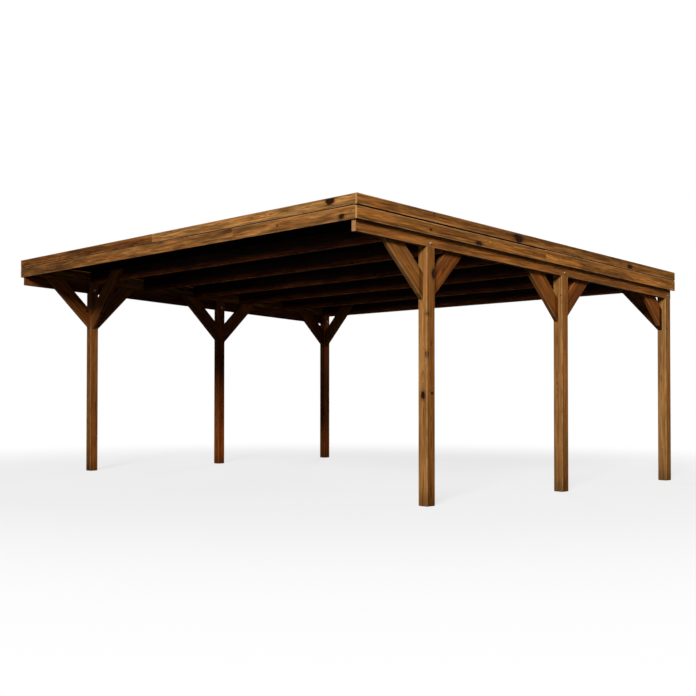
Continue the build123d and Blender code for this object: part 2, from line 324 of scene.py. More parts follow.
@cache
def grain_group():
    """Growth rings and knots of a timber whose grain runs along X.

    A ring is where the distance to the pith, plus the trunk's taper and a slow wander, passes a
    whole number of ring widths.  Knots are cones from the pith, one to a cell of length and of
    angle about the pith, and the chosen ones are ovals about a point on the face.  Near a knot
    the rings are pushed outwards, so the grain flows round it.
    """
    tree, graph, given, out = new_group(
        "Timber grain",
        {
            VECTOR: ["Vector", "Pith", *CHOSEN_PLACES],
            FLOAT: ["Seed", "Ring Width", "Knot Radius", "Knot Spacing", *CHOSEN_RADII],
        },
        {FLOAT: GRAIN},
    )
    position, seed = given["Vector"], given["Seed"]
    along = graph.split(position)[0]
    _, across, depth = graph.split(graph.vector("SUBTRACT", position, given["Pith"]))[:3]
    radius = graph.hypotenuse(across, depth)
    angle = graph.math("ARCTAN2", across, depth)

    # The distance from the axis of the nearest cell's knot, along the timber and round the pith
    cells_a_radian = 0.19
    seed_step_along, seed_step_round = 3.1, 1.7
    cell_x = graph.plus(graph.over(along, given["Knot Spacing"]), graph.times(seed, seed_step_along))
    cell_y = graph.plus(graph.times(angle, cells_a_radian), graph.times(seed, seed_step_round))
    cells = graph.add(
        "ShaderNodeTexVoronoi",
        {"Vector": graph.join(cell_x, cell_y, 0.0), "Scale": 1.0, "Randomness": 0.9},
        voronoi_dimensions="2D",
    )
    place = graph.split(cells.outputs["Position"])
    chance = graph.split(cells.outputs["Color"])
    run = graph.times(graph.minus(cell_x, place[0]), given["Knot Spacing"])
    turn = graph.over(graph.minus(cell_y, place[1]), cells_a_radian)
    distance = graph.hypotenuse(run, graph.times(turn, radius))

    # Its size: only some cells have a knot, none lies across the seam where the angle jumps, and
    # all grow from nothing at the pith
    knotted_share, seam_angle = 0.50, 2.75
    least_size, size_spread = 0.35, 1.1
    bare_heart, full_radius = 0.004, 0.035
    off_seam = graph.under(graph.math("ABSOLUTE", graph.minus(angle, turn)), seam_angle)
    present = graph.times(graph.under(chance[0], knotted_share), off_seam)
    size = graph.plus(graph.times(chance[1], size_spread), least_size)
    size = graph.times(size, given["Knot Radius"])
    size = graph.times(size, graph.times(present, graph.ramp(radius, bare_heart, full_radius)))
    ratio = graph.over(distance, graph.most(size, 1e-5))

    # The nearest of the chosen knots, which are drawn out along the grain
    draw = (0.6, 1.0, 1.0)
    chosen_ratio, chosen_radius = 1e3, 0.0
    for place_name, radius_name in zip(CHOSEN_PLACES, CHOSEN_RADII):
        way = graph.vector("MULTIPLY", graph.vector("SUBTRACT", position, given[place_name]), draw)
        share = graph.over(graph.vector("LENGTH", way), given[radius_name])
        nearer = graph.under(share, chosen_ratio)
        chosen_radius = graph.pick(nearer, chosen_radius, given[radius_name])
        chosen_ratio = graph.least(share, chosen_ratio)

    # The knot at hand, of either sort: its size, and the distance from it in knot radii
    rim_swing = 1.1
    knot_rim, halo_rim = (1.08, 0.88), (2.1, 0.9)
    knot_year, knot_year_rise = 0.17, (0.02, 0.15)
    here = graph.pick(graph.under(chosen_ratio, ratio), size, chosen_radius)
    ratio = graph.least(ratio, chosen_ratio)
    ratio = graph.plus(ratio, graph.swing(wood_noise(graph, given, "knot rim"), 0.5, rim_swing))
    knot = graph.ramp(ratio, *knot_rim)
    core = graph.ramp(graph.math("PINGPONG", ratio, knot_year), *knot_year_rise)

    # Rings, bent round the knots
    wander_size, ripple_size, taper = 0.060, 0.006, 0.006
    bend_reach, bend_size = 1.7, 1.6
    late_rise, late_fall = (0.25, 0.86), (1.0, 0.93)
    bend = graph.math("EXPONENT", graph.times(graph.squared(graph.over(ratio, bend_reach)), -1.0))
    reach = graph.plus(radius, graph.swing(wood_noise(graph, given, "ring wander"), 0.5, wander_size))
    reach = graph.plus(reach, graph.swing(wood_noise(graph, given, "ring ripple"), 0.5, ripple_size))
    reach = graph.plus(reach, graph.times(along, taper))
    reach = graph.minus(reach, graph.times(graph.times(here, bend), bend_size))
    year = graph.math("FRACT", graph.over(reach, given["Ring Width"]))
    late = graph.times(graph.ramp(year, *late_rise), graph.ramp(year, *late_fall))

    results = {
        "Late Wood": graph.times(late, graph.minus(1.0, knot)),
        "Knot": knot,
        "Knot Core": graph.times(core, knot),
        "Knot Halo": graph.ramp(ratio, *halo_rim),
        "Streak": wood_noise(graph, given, "streak"),
        "Fibre": wood_noise(graph, given, "fibre"),
    }
    graph.fill(out, results)
    return tree


@cache
def arris_group():
    """Rubbed arrises of a bar: high within the arris width of its long edges, broken by noise."""
    tree, graph, given, out = new_group(
        "Rubbed arris",
        {VECTOR: ["Vector", "Half Size"], FLOAT: ["Seed", "Width"]},
        {FLOAT: ["Wear"]},
    )
    gap = graph.vector("SUBTRACT", given["Half Size"], graph.vector("ABSOLUTE", given["Vector"]))
    _, gap_width, gap_depth = graph.split(gap)[:3]
    edge = graph.most(gap_width, gap_depth)
    ragged = (0.30, 0.72, 0.45, 1.9)
    reach = graph.times(given["Width"], graph.ramp(wood_noise(graph, given, "arris"), *ragged))
    graph.put(out["Wear"], graph.minus(1.0, graph.over(edge, reach, clamp=True)))
    return tree


# How much paler or darker each noise makes the wood: the noise's range, and the gain over it.
PALER = {
    "patch": (0.33, 0.68, 0.56, 1.38),
    "cloud": (0.30, 0.72, 0.80, 1.18),
    "fleck": (0.36, 0.66, 0.62, 1.28),
}

# How much each input of the stain adds to the roughness, and to the relief in millimetres.
ROUGHER = {"Fibre": 0.16, "Late Wood": -0.10, "Wear": 0.12, "Knot": -0.16}
HIGHER = {"Late Wood": 0.16, "Fibre": 0.10, "Knot": 0.25, "Streak": 0.20}


def weighed(graph, given, weights, total):
    """The total plus each named input times its weight."""
    for name, weight in weights.items():
        total = graph.plus(total, graph.times(given[name], weight))
    return total


@cache
def stain_group():
    """Colour, roughness and relief of stained pine, from its grain and its wear.

    The stain soaks into early wood and sits on late wood and knots; it is uneven from patch to
    patch, rubbed off the arrises, and soaked dark near the ground.
    """
    tree, graph, given, out = new_group(
        "Brown stain",
        {
            VECTOR: ["Vector"],
            FLOAT: ["Seed", *GRAIN, "Wear", "End Grain", "Height", "Unevenness", "Bleach And Light"],
            COLOUR: ["Lit And Bleached", "Early", "Late", "Knot Colour", "Worn", "End"],
        },
        {COLOUR: ["Color"], FLOAT: ["Roughness", "Relief"]},
    )

    # From early to late wood, by ring, streak and fibre
    late_share = 0.62
    streak_share, fibre_share = (0.36, 0.68, -0.30, 0.55), (0.3, 0.7, -0.06, 0.08)
    tone = graph.times(given["Late Wood"], late_share)
    tone = graph.plus(tone, graph.ramp(given["Streak"], *streak_share))
    tone = graph.plus(tone, graph.ramp(given["Fibre"], *fibre_share), clamp=True)
    wood = graph.blend(tone, given["Early"], given["Late"])

    # Paler and darker from patch to patch, darker round the knots, and paler on the front faces: partly
    # sun bleaching, partly painted light where the light falls on them
    halo_share = 0.35
    noises = {name: wood_noise(graph, given, name) for name in PALER}
    level = 1.0
    for name, gain in PALER.items():
        level = graph.times(level, graph.ramp(noises[name], *gain))
    uneven = graph.swing(level, 1.0, given["Unevenness"])
    uneven = graph.plus(uneven, graph.times(given["Knot Halo"], -halo_share))
    wood = graph.scale(wood, graph.plus(uneven, 1.0))
    wood = graph.blend(given["Bleach And Light"], wood, graph.vector("MULTIPLY", wood, given["Lit And Bleached"]))

    # Knots, worn arrises, cut ends, and the dark foot that rain splashes
    core_share, worn_share, cut_late_share = 0.12, 0.82, 0.55
    cut_gain = (0.3, 0.7, 0.8, 1.1)
    splash_swing, splash_gain = 0.16, (0.01, 0.20, 0.62, 1.0)
    core = graph.times(given["Knot Core"], core_share)
    wood = graph.blend(given["Knot"], wood, graph.blend(core, given["Knot Colour"], given["Late"]))
    wood = graph.blend(graph.times(given["Wear"], worn_share), wood, given["Worn"])
    cut = graph.times(given["Late Wood"], cut_late_share)
    cut = graph.blend(cut, given["End"], given["Late"])
    cut = graph.scale(cut, graph.ramp(noises["cloud"], *cut_gain))
    wood = graph.blend(given["End Grain"], wood, cut)
    splash = graph.plus(given["Height"], graph.swing(noises["cloud"], 0.5, splash_swing))

    smoothest = 0.60
    graph.put(out["Color"], graph.scale(wood, graph.ramp(splash, *splash_gain)))
    graph.put(out["Roughness"], weighed(graph, given, ROUGHER, smoothest))
    graph.put(out["Relief"], weighed(graph, given, HIGHER, 0.0))
    return tree


@cache
def dust_group():
    """Dust on an outdoor surface: more where it faces up, in soft patches and fine specks."""
    tree, graph, given, out = new_group(
        "Outdoor dust",
        {VECTOR: ["Vector"], FLOAT: ["Facing", "Amount"]},
        {FLOAT: ["Dust", "Speck"]},
    )
    patches_a_metre, specks_a_metre = (9.0, 0.8, 9.0), 420.0
    patch_range, facing_range, speck_range = (0.35, 0.75), (0.2, 0.95), (0.42, 0.70)
    patches = graph.vector("MULTIPLY", given["Vector"], patches_a_metre)
    patches = graph.noise(patches, detail=5.0, roughness=0.6)
    specks = graph.noise(graph.scale(given["Vector"], specks_a_metre), detail=1.0)
    level = graph.times(graph.ramp(patches, *patch_range), given["Amount"])
    graph.put(out["Dust"], graph.times(level, graph.ramp(given["Facing"], *facing_range)))
    graph.put(out["Speck"], graph.ramp(specks, *speck_range))
    return tree


def bare_graph(owner):
    """The Graph of a material or a world, without any nodes."""
    owner.use_nodes = True
    owner.node_tree.nodes.clear()
    return Graph(owner.node_tree)


def new_material(name):
    """A material, and its Graph, the inputs of its Principled shader and its coordinates."""
    material = bpy.data.materials.new(name)
    graph = bare_graph(material)
    shader = graph.add("ShaderNodeBsdfPrincipled")
    graph.add("ShaderNodeOutputMaterial", {"Surface": shader.outputs[0]})
    coordinates = graph.add("ShaderNodeTexCoord").outputs
    return material, graph, shader.inputs, coordinates


def use_group(graph, group, inputs):
    """One copy of a shared group with its inputs set or linked."""
    return graph.add("ShaderNodeGroup", inputs, node_tree=group).outputs


# ---------------- Timber ----------------


def nodes_named(start):
    """The nodes whose names start with a word, in order of their names."""
    return sorted(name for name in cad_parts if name.startswith(start))


def roof_fall():
    """Drop of the roof for each unit of run, from the second and the last rafter."""
    first_low, first_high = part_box("rafter_2")
    last_low, last_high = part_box("rafter_7")
    return (first_high.z - last_high.z) / (last_low.y - first_low.y)


def timber_axes(node):
    """The directions of a timber's length, width and thickness, as the rows of an array."""
    fall = roof_fall()
    side = SIDES["left" if "left" in node else "right"]
    if node.startswith("post"):
        rows = [(0, 0, 1), (1, 0, 0), (0, 1, 0)]
    elif node.startswith(("beam", "fascia_left", "fascia_right")):
        rows = [(0, 1, -fall), (0, fall, 1), (1, 0, 0)]
    elif node.endswith("cross"):
        rows = [(-side, 0, 1), (side, 0, 1), (0, 1, 0)]
    elif node.startswith("brace"):
        way = -1.0 if node.endswith("forward") else 1.0
        rows = [(0, way, 1), (0, -way, 1), (1, 0, 0)]
    else:
        rows = [(1, 0, 0), (0, 0, 1), (0, 1, 0)]
    axes = np.array(rows, float)
    axes /= np.linalg.norm(axes, axis=1)[:, None]
    if np.linalg.det(axes) < 0:
        axes[2] *= -1.0
    return axes


def corners(node):
    """The corners of a node's mesh, as the rows of an array."""
    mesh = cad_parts[node].data
    points = np.empty(len(mesh.vertices) * 3, np.float32)
    mesh.vertices.foreach_get("co", points)
    return points.reshape(-1, 3)


def timber_frame(node):
    """(axes, centre, half sizes) of a timber, its extents measured along its own directions."""
    axes = timber_axes(node)
    inner = corners(node) @ axes.T
    low, high = inner.min(0), inner.max(0)
    return axes, (low + high) / 2 @ axes, (high - low) / 2


def tongue_height(node):
    """How far the tongue inside a lower board's top edge stands above the board's outer half."""
    if "lower" not in node:
        return 0.0
    axes, centre, half = timber_frame(node)
    inner = corners(node) @ axes.T - axes @ centre
    tongue_side = inner[inner[:, 1] > half[1] - 0.1 * MILLIMETRE, 2].mean()
    outer_half = inner[:, 2] * tongue_side < 0.0
    return half[1] - inner[outer_half, 1].max()


# The knots that stand out: the timber, each knot's place on its face and its radius, in metres.
KNOTS = {
    "fascia_front_upper_right": [((2.522, -2.386, 2.458), 0.032)],
    "fascia_front_lower_right": [((2.655, -2.386, 2.320), 0.020)],
    "fascia_right_upper": [((2.832, -0.358, 2.326), 0.034), ((2.832, 1.492, 2.234), 0.024)],
    "fascia_right_lower_front": [((2.832, -0.922, 2.229), 0.026)],
    "post_front_right": [
        ((2.795, -1.468, 1.929), 0.024),
        ((2.750, -1.550, 0.920), 0.021),
        ((2.795, -1.550, 1.260), 0.018),
    ],
}

# How pale, how yellow and how bleached in front each timber is: partly its own stain tone, partly
# painted light and shade, darker and redder on the timbers in shade and paler on the lit ones.
TONES_AND_SHADE = {
    "beam_right": (1.0, 0.93, 1.0),
    "beam_left": (0.42, 0.62, 1.0),
    "fascia_front_upper_left": (0.90, 0.76, 0.9),
    "fascia_front_upper_right": (0.96, 1.0, 1.12),
    "fascia_front_lower_left": (0.92, 0.88, 1.0),
    "fascia_front_lower_right": (0.98, 0.92, 1.0),
    "fascia_right_upper": (1.06, 1.0, 1.0),
    "fascia_right_lower_front": (1.16, 0.99, 1.0),
    "fascia_right_lower_back": (1.24, 1.0, 1.0),
    "post_front_left": (0.72, 0.86, 1.0),
    "post_middle_left": (0.76, 0.54, 1.0),
    "post_back_left": (1.2, 0.58, 1.0),
    "post_front_right": (0.92, 0.96, 1.20),
    "post_middle_right": (1.03, 0.98, 1.0),
    "post_back_right": (1.10, 1.02, 1.0),
    "brace_front_right_forward": (0.85, 1.0, 1.0),
    "brace_front_right_backward": (0.62, 0.75, 1.0),
    "brace_middle_right_forward": (0.86, 0.80, 1.0),
}

# The same for the timbers under the roof, by the first word of their names, and for all the others:
# under the roof the wood is darker and redder, partly unbleached stain and partly painted shade.
UNBLEACHED_AND_SHADED = {"rafter": (1.0, 0.54, 1.0), "brace": (0.75, 0.74, 1.0)}
PLAIN = (1.0, 1.0, 1.0)

# How unevenly the stain took, by the first word of the timbers' names.
UNEVEN = {"post": 0.45, "brace": 0.60, "rafter": 1.0, "beam": 0.90, "fascia": 1.10}

# Painted shade: how dark the upright strip is on a brace beside its post, in the corner where the two
# meet.
BRACE_SHADE = {
    "brace_front_right_forward": 0.45,
    "brace_middle_right_forward": 0.45,
    "brace_back_right_forward": 0.85,
}


def pith_place(node, half, rng):
    """Where the pith runs: inside a post, and outside the heart face of a sawn plank."""
    heart_shift, plank_gap, width_share = 0.012, (0.022, 0.060), 0.3
    if node.startswith("post"):
        depth = rng.uniform(-heart_shift, heart_shift)
    else:
        depth = -half[2] - rng.uniform(*plank_gap)
    return 0.0, rng.uniform(-width_share, width_share) * half[1], depth


def knot_inputs(node, axes, centre):
    """The inputs of the grain for the knots of a timber that have a place of their own."""
    knots = (KNOTS.get(node, []) + [NO_KNOT] * len(CHOSEN))[: len(CHOSEN)]
    places = [tuple(axes @ (np.array(place) - centre)) for place, _ in knots]
    radii = [radius for _, radius in knots]
    return dict(zip(CHOSEN_PLACES, places)) | dict(zip(CHOSEN_RADII, radii))


def painted_shade(graph, node, level, half, depth, looks):
    """The share by which a timber is darker, as painted shade: up the side of a rafter, on the tongue
    in the groove between two boards, and on a brace in the corner beside its post.  level is the
    place across the timber's width, and depth the place along +Y."""
    seam_fade, shade_fade = 0.5 * MILLIMETRE, 2 * MILLIMETRE
    tongue = tongue_height(node)
    # Painted shade up a rafter's side.
    if node.startswith("rafter"):
        return graph.times(graph.ramp(level, -half[1], 0.0), looks.rafter_shade)
    # Painted shade on the tongue in the groove.
    if tongue:
        seam = half[1] - tongue
        return graph.times(graph.ramp(level, seam - seam_fade, seam), looks.groove_shade)
    # Painted shade on a brace beside its post.
    if node in BRACE_SHADE:
        from_post = graph.minus(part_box(node)[1].y, depth)
        edge = looks.brace_shade_width
        return graph.ramp(from_post, edge, edge - shade_fade, 0.0, BRACE_SHADE[node])
    return 0.0


def timber_material(node, index, looks):
    """The stained pine of one timber: its own place in the log, stain tone with its painted light and
    shade, and seed.
    """
    tone_spread, ring_spread = (0.97, 1.03), (0.8, 1.3)
    thin_board, thin_knots = 0.015, 0.8
    end_range, front_range, below_range = (0.85, 0.95), (0.3, 0.9), (-0.5, -0.9)
    kind = node.split("_")[0]
    axes, centre, half = timber_frame(node)
    tongue = tongue_height(node)
    rng = np.random.default_rng(SEED + index)
    pale, yellow, lit_and_bleached = TONES_AND_SHADE.get(node, UNBLEACHED_AND_SHADED.get(kind, PLAIN))
    pale *= rng.uniform(*tone_spread)
    pith = pith_place(node, half, rng)
    seed = float(index)

    material, graph, shader, coordinates = new_material(f"stained_pine_{node}")
    mapping = graph.add(
        "ShaderNodeMapping",
        {
            "Vector": coordinates["Object"],
            "Location": tuple(centre),
            "Rotation": Matrix(axes.T.tolist()).to_euler(),
        },
        vector_type="TEXTURE",
    )
    position = mapping.outputs[0]
    _, depth, height = graph.split(coordinates["Object"])[:3]
    normal = coordinates["Normal"]
    endwards = graph.math("ABSOLUTE", graph.vector("DOT_PRODUCT", normal, tuple(axes[0])))
    forwards = graph.vector("DOT_PRODUCT", normal, (0.0, -1.0, 0.0))

    def tinted(value):
        red, green, blue = value
        return opaque((red, green * yellow, blue * yellow ** 2), pale)

    grain = use_group(
        graph,
        grain_group(),
        {
            "Vector": position,
            "Pith": pith,
            "Seed": seed,
            "Ring Width": looks.ring_width * rng.uniform(*ring_spread),
            "Knot Radius": looks.knot_radius * (thin_knots if half[2] < thin_board else 1.0),
            "Knot Spacing": looks.knot_spacing,
        }
        | knot_inputs(node, axes, centre),
    )
    wear = use_group(
        graph,
        arris_group(),
        {
            "Vector": graph.vector("ADD", position, (0.0, tongue / 2, 0.0)),
            "Half Size": (half[0], half[1] - tongue / 2, half[2]),
            "Seed": seed,
            "Width": looks.arris_width,
        },
    )
    stain = use_group(
        graph,
        stain_group(),
        {name: grain[name] for name in GRAIN}
        | {
            "Vector": position,
            "Seed": seed,
            "Wear": wear["Wear"],
            "End Grain": graph.ramp(endwards, *end_range),
            "Height": height,
            "Unevenness": UNEVEN[kind],
            # Paler front faces: sun bleaching, and partly painted light.
            "Bleach And Light": graph.ramp(forwards, *front_range),
            "Lit And Bleached": opaque(looks.bleach_and_light, lit_and_bleached),
            "Early": tinted(looks.early),
            "Late": tinted(looks.late),
            "Knot Colour": opaque(looks.knot),
            "Worn": tinted(looks.worn),
            "End": tinted(looks.end),
        },
    )

    level = graph.split(position)[1]
    gain = graph.minus(1.0, painted_shade(graph, node, level, half, depth, looks))
    # Painted light: the undersides of the rafters are made lighter than their sides.
    if kind == "rafter":
        below = graph.ramp(graph.split(normal)[2], *below_range)
        gain = graph.times(gain, graph.plus(1.0, graph.times(below, looks.underside)))
    tone = graph.scale(stain["Color"], gain)
    finish = {
        "Base Color": graph.vector("MINIMUM", tone, (looks.palest,) * 3),
        "Roughness": stain["Roughness"],
        "Normal": graph.relief(stain["Relief"], MILLIMETRE, 0.7),
        "Specular IOR Level": 0.12,
    }
    graph.fill(shader, finish)
    return material


class CARPORT_OT_timber(bpy.types.Operator):
    """Give every post, beam, rafter, brace and fascia board its stained pine"""

    bl_idname = "carport.timber"
    bl_label = "Stain the timber"

    def execute(self, context):
        looks = context.scene.carport_timber
        timbers = sorted(set(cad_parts) - set(nodes_named("roof_sheet")))
        for index, name in enumerate(timbers):
            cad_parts[name].material_slots[0].material = timber_material(name, index, looks)
        return {"FINISHED"}


# ------------- Roof sheets --------------


def roof_material(looks):
    """Coated steel: an even coat with fine orange peel, dusty pans, and a primed underside made
    near-black, partly dark primer and partly painted shade under the roof.
    """
    speck_share, speck_gain, under_range = 0.25, 1.5, (0.0, -0.2)
    coat_rough, dust_rough, backing_rough = 0.42, 0.8, 0.6
    peel_a_metre, peel_height, peel_strength = 700.0, 0.05 * MILLIMETRE, 0.5
    material, graph, shader, coordinates = new_material("coated_steel")
    place, facing = coordinates["Object"], graph.split(coordinates["Normal"])[2]
    dust = use_group(
        graph, dust_group(), {"Vector": place, "Facing": facing, "Amount": looks.dust_share}
    )
    speck = graph.times(dust["Speck"], speck_share)
    coat = graph.blend(speck, opaque(looks.coating), opaque(looks.coating, speck_gain))
    top = graph.blend(dust["Dust"], coat, opaque(looks.dust))
    under = graph.ramp(facing, *under_range)
    rough = graph.plus(coat_rough, graph.times(dust["Dust"], dust_rough))
    peel = graph.noise(graph.scale(place, peel_a_metre), detail=1.0)
    finish = {
        # The underside's near-black is partly painted shade.
        "Base Color": graph.blend(under, top, opaque(looks.shaded_backing)),
        "Roughness": graph.plus(rough, graph.times(under, backing_rough), clamp=True),
        "Normal": graph.relief(peel, peel_height, peel_strength),
        "Specular IOR Level": 0.25,
    }
    graph.fill(shader, finish)
    return material


class CARPORT_OT_roof(bpy.types.Operator):
    """Coat the roof sheets"""

    bl_idname = "carport.roof"
    bl_label = "Coat the roof sheets"

    def execute(self, context):
        material = roof_material(context.scene.carport_roof)
        for name in nodes_named("roof_sheet"):
            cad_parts[name].material_slots[0].material = material
        return {"FINISHED"}


# --------------- Fixings ----------------

# The angle under which two faces are shaded as one
SMOOTH_BELOW = math.radians(35)

# Coach bolts, in metres, and in shares of the head's and of the nut's radius
CUP_RIM, CUP_RISE = 0.0012, 0.48
WASHER_THICKNESS, WASHER_EDGE = 0.0025, 0.0005
NUT_HEIGHT, NUT_EDGE, NUT_FACE = 0.0080, 0.0010, 0.90
BOLT_SHARE, THREAD_ROOT = 0.58, 0.90
THREAD_STEP, THREAD_STEPS = 0.0010, 8

# Roof screws, in metres, and the share of the washer's radius that is flat on top
ROOF_WASHER_SIDE, ROOF_WASHER_TOP, ROOF_WASHER_FACE = 0.0016, 0.0024, 0.8
ROOF_HEAD, ROOF_HEAD_FACE = 0.0040, 0.0034
ROOF_HEAD_SIDE, ROOF_HEAD_TOP = 0.0049, 0.0054
RIBS_PER_SCREW = 2

# Brace screws, in metres: down from the brace's top end and across from its middle, and at the
# foot up along the brace and to either side of the middle of its thickness
LAP_SCREWS = ((0.16, 0.035), (0.10, -0.035))
FOOT_SCREW_RISE, FOOT_SCREWS = 0.062, (-0.011, 0.011)


def turned(profile, sides, outline=None):
    """A closed surface about +Z.  profile is rows of (radius, height) from the bottom middle to
    the top middle; the point at angle a has that radius times outline(a), which is 1 for a round
    form."""
    profile = np.asarray(profile, float)
    angles = np.arange(sides) * 2 * np.pi / sides
    stretch = np.ones(sides) if outline is None else outline(angles)
    radius = profile[:, :1] * stretch[None, :]
    heights = np.repeat(profile[:, 1:], sides, 1)
    points = np.stack([radius * np.cos(angles), radius * np.sin(angles), heights], -1)
    points = points[1:-1].reshape(-1, 3)
    points = np.vstack([[0, 0, profile[0, 1]], points, [0, 0, profile[-1, 1]]])
    first = 1 + np.arange(sides)
    after = 1 + (np.arange(sides) + 1) % sides
    faces = [tuple(face) for face in np.stack([np.zeros(sides, int), after, first], 1)]
    rings = len(profile) - 2
    for ring in range(rings - 1):
        low, high = ring * sides, (ring + 1) * sides
        band = np.stack([first + low, after + low, after + high, first + high], 1)
        faces += [tuple(face) for face in band]
    last = (rings - 1) * sides
    cap = np.stack([first + last, after + last, np.full(sides, len(points) - 1)], 1)
    return points, faces + [tuple(face) for face in cap]


def hexagon(angles):
    """Distance to the edge of a hexagon with an inner radius of 1."""
    sector = np.pi / 3
    return 1 / np.cos((angles + sector / 2) % sector - sector / 2)


def frame_along(direction):
    """A rotation whose third column is the direction."""
    return np.array(Vector(direction).to_track_quat("Z", "Y").to_matrix())


def place_all(surface, spots):
    """Copies of a surface, each turned to a spot's direction and moved to its point."""
    points, faces = surface
    turns = np.array([frame_along(direction) for _, direction in spots])
    origins = np.array([origin for origin, _ in spots], float)
    placed = np.einsum("kij,nj->kni", turns, points) + origins[:, None, :]
    steps = np.arange(len(spots)) * len(points)
    return placed.reshape(-1, 3), [tuple(i + step for i in face) for step in steps for face in faces]


def new_object(name, data):
    """A linked object with the data."""
    thing = bpy.data.objects.new(name, data)
    bpy.context.scene.collection.objects.link(thing)
    return thing


def add_piece(name, surfaces, material):
    """One object from several placed surfaces, riding on the frame, shaded smooth by angle."""
    points, faces = [], []
    for surface_points, surface_faces in surfaces:
        shift = sum(len(p) for p in points)
        points.append(surface_points)
        faces += [tuple(i + shift for i in face) for face in surface_faces]
    mesh = bpy.data.meshes.new(name)
    mesh.from_pydata(np.vstack(points).tolist(), [], faces)
    mesh.shade_smooth()
    mesh.set_sharp_from_angle(angle=SMOOTH_BELOW)
    mesh.materials.append(material)
    piece = new_object(name, mesh)
    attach(piece, BODY)


@cache
def metal_material(name, tint, roughness):
    """Plated steel: fine spangle in the colour and relief, and a clouded roughness."""
    spangle_a_metre, clouds_a_metre = 900.0, 160.0
    spangle_gain, cloud_gain = (0.3, 0.7, 0.8, 1.1), (0.3, 0.75, 0.8, 1.0)
    cloud_range, rougher = (0.25, 0.75), 0.2
    material, graph, shader, coordinates = new_material(name)
    spangle = graph.noise(graph.scale(coordinates["Object"], spangle_a_metre), detail=2.0)
    cloud = graph.noise(graph.scale(coordinates["Object"], clouds_a_metre), detail=3.0)
    level = graph.times(graph.ramp(spangle, *spangle_gain), graph.ramp(cloud, *cloud_gain))
    finish = {
        "Base Color": graph.scale(tint, level),
        "Metallic": 1.0,
        "Roughness": graph.ramp(cloud, *cloud_range, roughness, roughness + rougher),
        "Normal": graph.relief(spangle, 0.04 * MILLIMETRE, 0.6),
    }
    graph.fill(shader, finish)
    return material


def zinc(sizes):
    """The bright zinc of bolts, nuts, washers and roof screws."""
    return metal_material("bright_zinc", tuple(sizes.zinc), 0.32)


def bronze(sizes):
    """The brown coating of the wood screws."""
    return metal_material("bronzed_steel", tuple(sizes.bronze), 0.40)


def roof_line(y, rise):
    """Height of a point a plumb rise above the beams' underside, at the depth y."""
    low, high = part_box("beam_right")
    return low.z + roof_fall() * (high.y - y) + rise


def cup_head(radius):
    """A low dome, part of an ellipse, on an upright rim."""
    steps = np.linspace(0, np.pi / 2, 5)
    dome = [(radius * math.cos(a), CUP_RIM + radius * CUP_RISE * math.sin(a)) for a in steps]
    return turned([(0, 0), (radius, 0)] + dome, 24)


def nut_stack(washer, flat):
    """A washer, a hexagon nut on it with half width flat, and the bolt's threaded end, whose
    radius goes up and down by steps."""
    base, top = WASHER_THICKNESS, WASHER_THICKNESS + NUT_HEIGHT
    ring = [(0, 0), (washer, 0), (washer, base - WASHER_EDGE), (washer - WASHER_EDGE, base), (0, base)]
    nut = [(0, base), (flat, base), (flat, top - NUT_EDGE), (flat * NUT_FACE, top), (0, top)]
    rod = flat * BOLT_SHARE
    steps = range(THREAD_STEPS)
    thread = [(rod * (1.0 if i % 2 else THREAD_ROOT), top + THREAD_STEP * i) for i in steps]
    end = [(0, top)] + thread + [(0, top + THREAD_STEP * THREAD_STEPS)]
    return turned(ring, 24), turned(nut, 24, hexagon), turned(end, 12)


class CARPORT_OT_bolts(bpy.types.Operator):
    """Bolt every post to its beam: a cup head outside, a washer and a nut inside"""

    bl_idname = "carport.bolts"
    bl_label = "Add the coach bolts"

    def execute(self, context):
        sizes = context.scene.carport_fixings
        outside, inside = [], []
        for name, side in SIDES.items():
            for row in ROWS:
                low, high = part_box(f"post_{row}_{name}")
                y = (low.y + high.y) / 2
                z = roof_line(y, sizes.bolt_rise)
                outer, inner = (high.x, low.x) if side > 0 else (low.x, high.x)
                outside.append(((outer, y, z), (side, 0, 0)))
                inside.append(((inner, y, z), (-side, 0, 0)))
        head = cup_head(sizes.head_radius)
        nuts = [place_all(part, inside) for part in nut_stack(sizes.washer_radius, sizes.nut_width / 2)]
        add_piece("coach_bolt_heads", [place_all(head, outside)], zinc(sizes))
        add_piece("coach_bolt_nuts", nuts, zinc(sizes))
        return {"FINISHED"}


def screw_head(radius):
    """A countersunk head, just proud of the wood, with a shallow round recess in it."""
    rim, sunk = 0.0003, 0.0020
    side, recess = rim * 0.4, rim * 0.2
    cone = [(0, -sunk), (radius, -sunk), (radius, side), (radius * 0.88, rim)]
    return turned(cone + [(radius * 0.45, rim), (radius * 0.36, recess), (0, recess)], 12)


class CARPORT_OT_screws(bpy.types.Operator):
    """Screw the braces to posts, beams and rafters"""

    bl_idname = "carport.screws"
    bl_label = "Add the wood screws"

    def execute(self, context):
        sizes = context.scene.carport_fixings
        heads = place_all(screw_head(sizes.screw_radius), self.brace_spots())
        add_piece("brace_screws", [heads], bronze(sizes))
        return {"FINISHED"}

    def brace_spots(self):
        """Two screws through the lap at the top of each brace, and two skew ones at its foot."""
        spots = []
        for name in nodes_named("brace"):
            axes, centre, half = timber_frame(name)
            side = SIDES["left" if "left" in name else "right"]
            face = np.array((0.0, -1.0, 0.0) if name.endswith("cross") else (-side, 0.0, 0.0))
            for along, across in LAP_SCREWS:
                point = centre + axes[0] * (half[0] - along) + axes[1] * across + face * half[2]
                spots.append((point, face))
            down = -axes[1] if axes[1][2] > 0 else axes[1]
            for across in FOOT_SCREWS:
                foot = centre - axes[0] * (half[0] - FOOT_SCREW_RISE) + down * half[1]
                spots.append((foot + axes[2] * across, down))
        return spots


